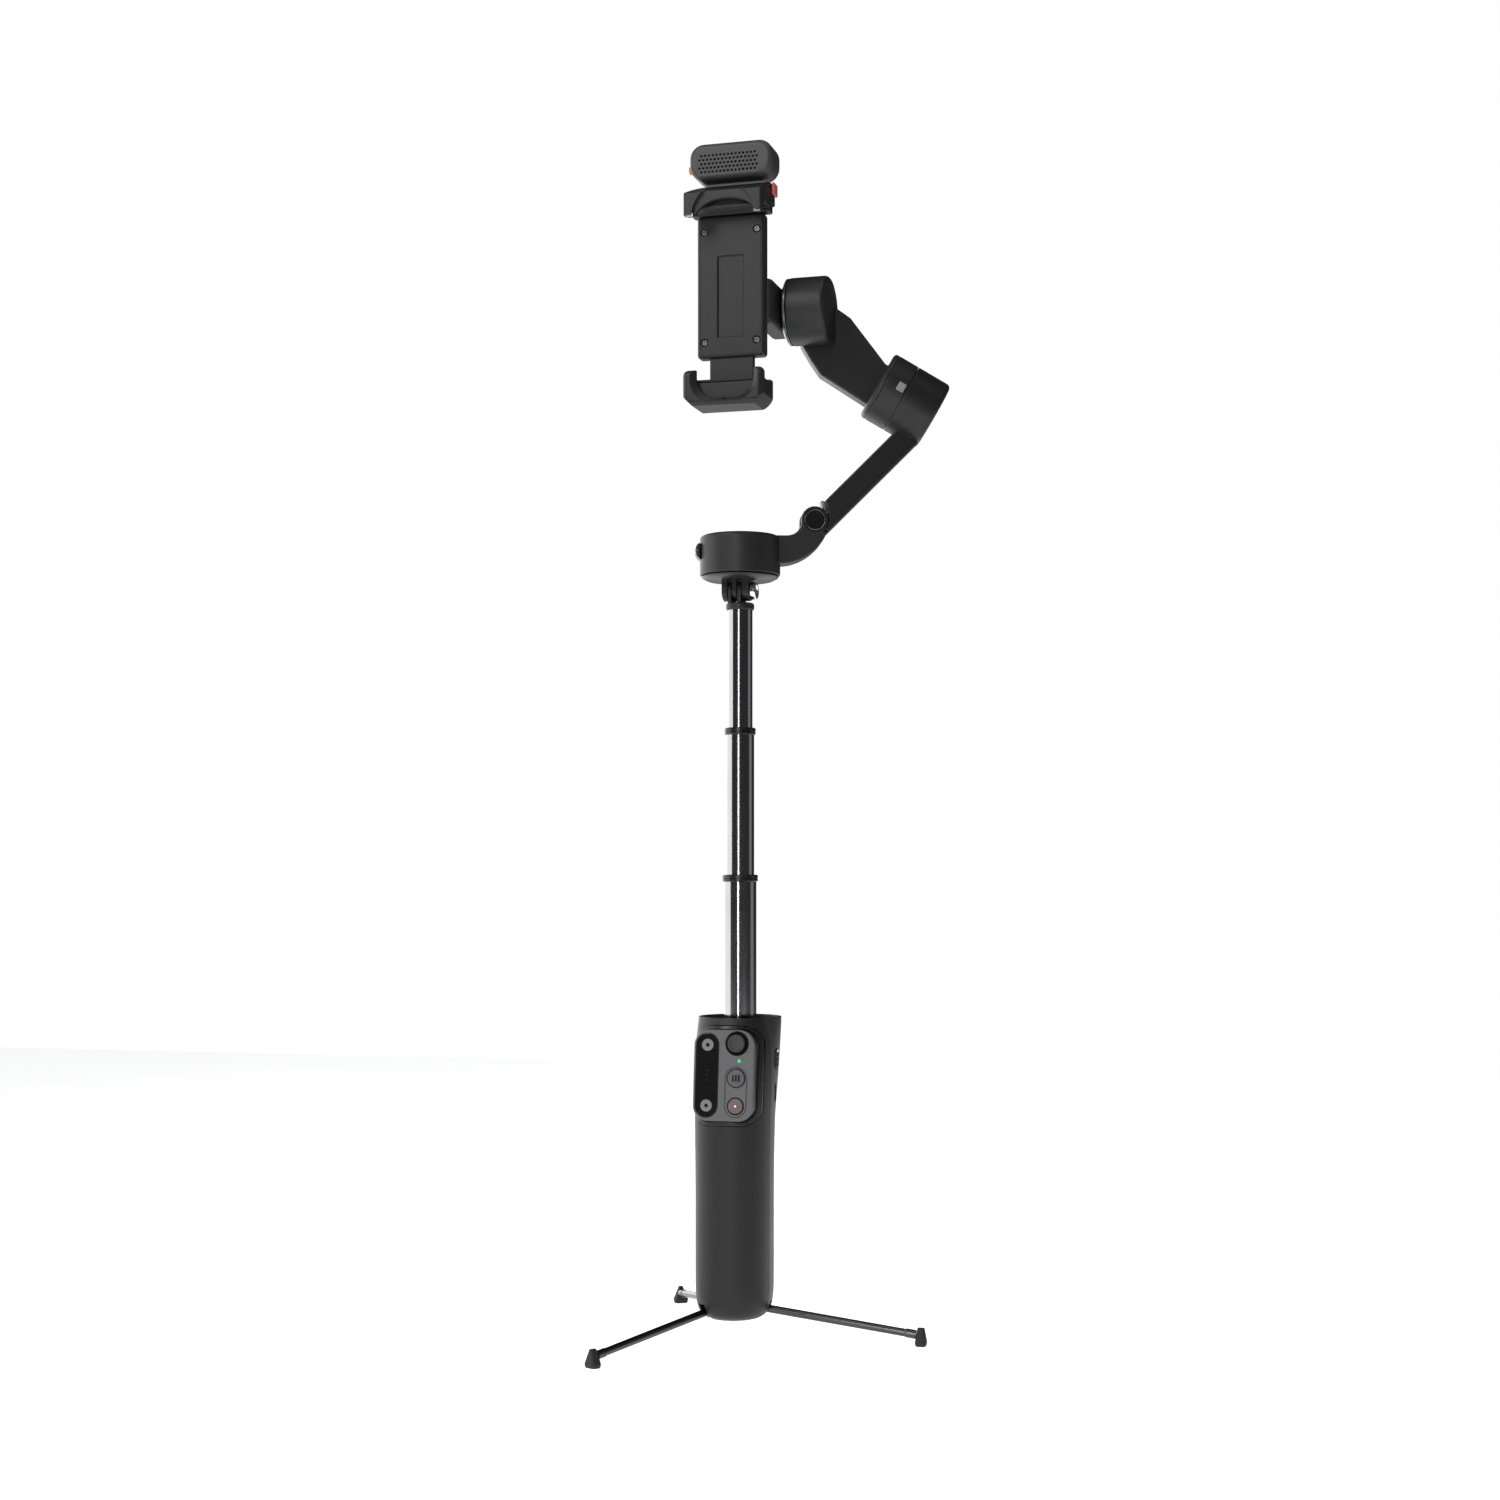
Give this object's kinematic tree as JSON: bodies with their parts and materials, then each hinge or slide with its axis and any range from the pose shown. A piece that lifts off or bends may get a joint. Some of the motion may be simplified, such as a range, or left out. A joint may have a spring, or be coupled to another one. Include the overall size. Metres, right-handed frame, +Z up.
{
  "type": "camera gimbal",
  "caption": "Three-axis phone gimbal with a folding arm, extension rod, spring phone clamp, clip-on tracker, magnetic remote and folding tripod foot.",
  "frame": {"origin": "centre of the extension rod's axis on the handle's flat bottom face", "axes": "+X to the right seen from the front, -Y towards the user (screen and remote side), +Z up along the rod"},
  "size_m": [0.1447, 0.1567, 0.5317],
  "materials": {
    "soft_grip": "soft-touch, fine texture",
    "dark_plastic": "satin charcoal",
    "grey_plastic": "satin mid grey",
    "tracker_grey": "satin dark grey",
    "black_metal": "black anodised, mirror-like",
    "dark_metal": "dark, finely turned",
    "bright_metal": "polished",
    "copper": "enamelled winding",
    "board": "solder mask",
    "cell": "shrink sleeve",
    "rubber": "matt",
    "black_gloss": "high gloss",
    "orange": "satin orange",
    "accent": "satin pink-red",
    "lamp": "clear green",
    "record": "satin grey-pink"
  },
  "bodies": {
    "handle": {"handle_front_shell": "soft_grip", "handle_rear_shell": "dark_plastic", "cup_floor": "dark_metal", "rod_sleeve": "black_metal", "battery_cell": "cell", "main_board": "board", "usb_port": "bright_metal", "dock_frame": "grey_plastic", "tripod_hub": "dark_plastic", "leg_pin_1": "bright_metal", "leg_pin_2": "bright_metal", "leg_pin_3": "bright_metal"},
    "power_key": {"power_key": "dark_plastic"},
    "leg_1": {"leg_1": "black_metal", "foot_1": "rubber"},
    "leg_2": {"leg_2": "black_metal", "foot_2": "rubber"},
    "leg_3": {"leg_3": "black_metal", "foot_3": "rubber"},
    "remote": {"remote_shell": "grey_plastic", "remote_back": "dark_plastic", "remote_board": "board", "touch_strip": "black_gloss", "status_lamp": "lamp"},
    "mode_button": {"mode_button": "grey_plastic"},
    "record_button": {"record_button": "record"},
    "joystick_ring": {"joystick_ring": "dark_metal"},
    "joystick_cap": {"joystick_cap": "black_gloss"},
    "rod_lower": {"lower_tube": "black_metal", "lower_collar": "dark_metal"},
    "rod_middle": {"middle_tube": "black_metal", "middle_collar": "dark_metal"},
    "rod_upper": {"upper_tube": "black_metal", "rod_fork": "black_metal"},
    "head": {"head_base": "dark_plastic", "fork_pin": "bright_metal", "fork_nut": "bright_metal", "pan_stator": "copper"},
    "pan": {"pan_housing": "dark_plastic", "pan_rotor": "dark_metal", "fold_catch": "dark_plastic", "fold_pin": "bright_metal", "fold_cap": "dark_metal"},
    "arm": {"upper_arm": "dark_plastic", "roll_stator": "copper"},
    "roll": {"roll_bracket": "dark_plastic", "roll_rotor": "dark_metal", "alignment_mark": "grey_plastic", "tilt_stator": "copper"},
    "clamp": {"clamp_back": "dark_plastic", "tilt_rotor": "dark_metal", "upper_jaw": "dark_plastic", "upper_pad": "rubber", "accent_strip": "accent"},
    "jaw": {"lower_jaw": "dark_plastic", "lower_pad": "rubber"},
    "tracker": {"tracker_shell": "tracker_grey", "tracker_back": "dark_plastic", "light_panel": "tracker_grey"},
    "dial": {"light_dial": "orange"}
  },
  "joints": [
    {"name": "rod_lower_slide", "type": "slide", "parent": "handle", "child": "rod_lower", "axis": [0, 0, 1], "range_m": [-0.074, 0]},
    {"name": "rod_middle_slide", "type": "slide", "parent": "rod_lower", "child": "rod_middle", "axis": [0, 0, 1], "range_m": [-0.063, 0]},
    {"name": "rod_upper_slide", "type": "slide", "parent": "rod_middle", "child": "rod_upper", "axis": [0, 0, 1], "range_m": [-0.053, 0]},
    {"name": "head_tilt", "type": "hinge", "parent": "rod_upper", "child": "head", "pos_m": [0, 0, 0.3266], "axis": [-1, 0, 0], "range_deg": [0, 50]},
    {"name": "pan_turn", "type": "hinge", "parent": "head", "child": "pan", "pos_m": [0, 0, 0.343], "axis": [0, 0, 1], "continuous": true},
    {"name": "arm_fold", "type": "hinge", "parent": "pan", "child": "arm", "pos_m": [0.03157, 0.01149, 0.3586], "axis": [0.342, -0.9397, 0], "range_deg": [0, 100]},
    {"name": "roll_turn", "type": "hinge", "parent": "arm", "child": "roll", "pos_m": [0.06916, 0.02517, 0.4152], "axis": [0.8179, 0.2977, -0.4924], "range_deg": [-90, 90]},
    {"name": "tilt_turn", "type": "hinge", "parent": "roll", "child": "clamp", "pos_m": [0.0315, 0.002, 0.452], "axis": [1, 0, 0], "range_deg": [-90, 60]},
    {"name": "jaw_slide", "type": "slide", "parent": "clamp", "child": "jaw", "axis": [0, 0, 1], "range_m": [-0.0075, 0.0095]},
    {"name": "tracker_lift", "type": "slide", "parent": "clamp", "child": "tracker", "axis": [0, 0, 1], "range_m": [0, 0.03]},
    {"name": "dial_turn", "type": "hinge", "parent": "tracker", "child": "dial", "pos_m": [-0.0163, -0.022, 0.512], "axis": [-1, 0, 0], "range_deg": [0, 270]},
    {"name": "remote_pull", "type": "slide", "parent": "handle", "child": "remote", "axis": [0, -0.9951, 0.0993], "range_m": [0, 0.03]},
    {"name": "joystick_rock_up", "type": "hinge", "parent": "remote", "child": "joystick_ring", "pos_m": [0.0059, -0.02231, 0.1231], "axis": [1, 0, 0], "range_deg": [-10, 10], "stiffness_Nm_per_rad": 0.02},
    {"name": "joystick_rock_side", "type": "hinge", "parent": "joystick_ring", "child": "joystick_cap", "pos_m": [0.0059, -0.02231, 0.1231], "axis": [0, 0.0993, 0.9951], "range_deg": [-10, 10], "stiffness_Nm_per_rad": 0.02},
    {"name": "mode_press", "type": "slide", "parent": "remote", "child": "mode_button", "axis": [0, 0.9951, -0.0993], "range_m": [0, 0.0006], "stiffness_N_per_m": 300},
    {"name": "record_press", "type": "slide", "parent": "remote", "child": "record_button", "axis": [0, 0.9951, -0.0993], "range_m": [0, 0.0006], "stiffness_N_per_m": 300},
    {"name": "power_press", "type": "slide", "parent": "handle", "child": "power_key", "axis": [-1, 0, 0], "range_m": [0, 0.0008], "stiffness_N_per_m": 300},
    {"name": "leg_1_fold", "type": "hinge", "parent": "handle", "child": "leg_1", "pos_m": [0.00459, -0.00615, 0.0045], "axis": [-0.0523, 0.9986, 0], "range_deg": [0, 82]},
    {"name": "leg_2_fold", "type": "hinge", "parent": "handle", "child": "leg_2", "pos_m": [-0.0056, -0.00097, 0.0045], "axis": [-0.8387, -0.5446, 0], "range_deg": [0, 82]},
    {"name": "leg_3_fold", "type": "hinge", "parent": "handle", "child": "leg_3", "pos_m": [-0.005, -0.01238, 0.0045], "axis": [0.891, -0.454, 0], "range_deg": [0, 82]}
  ]
}
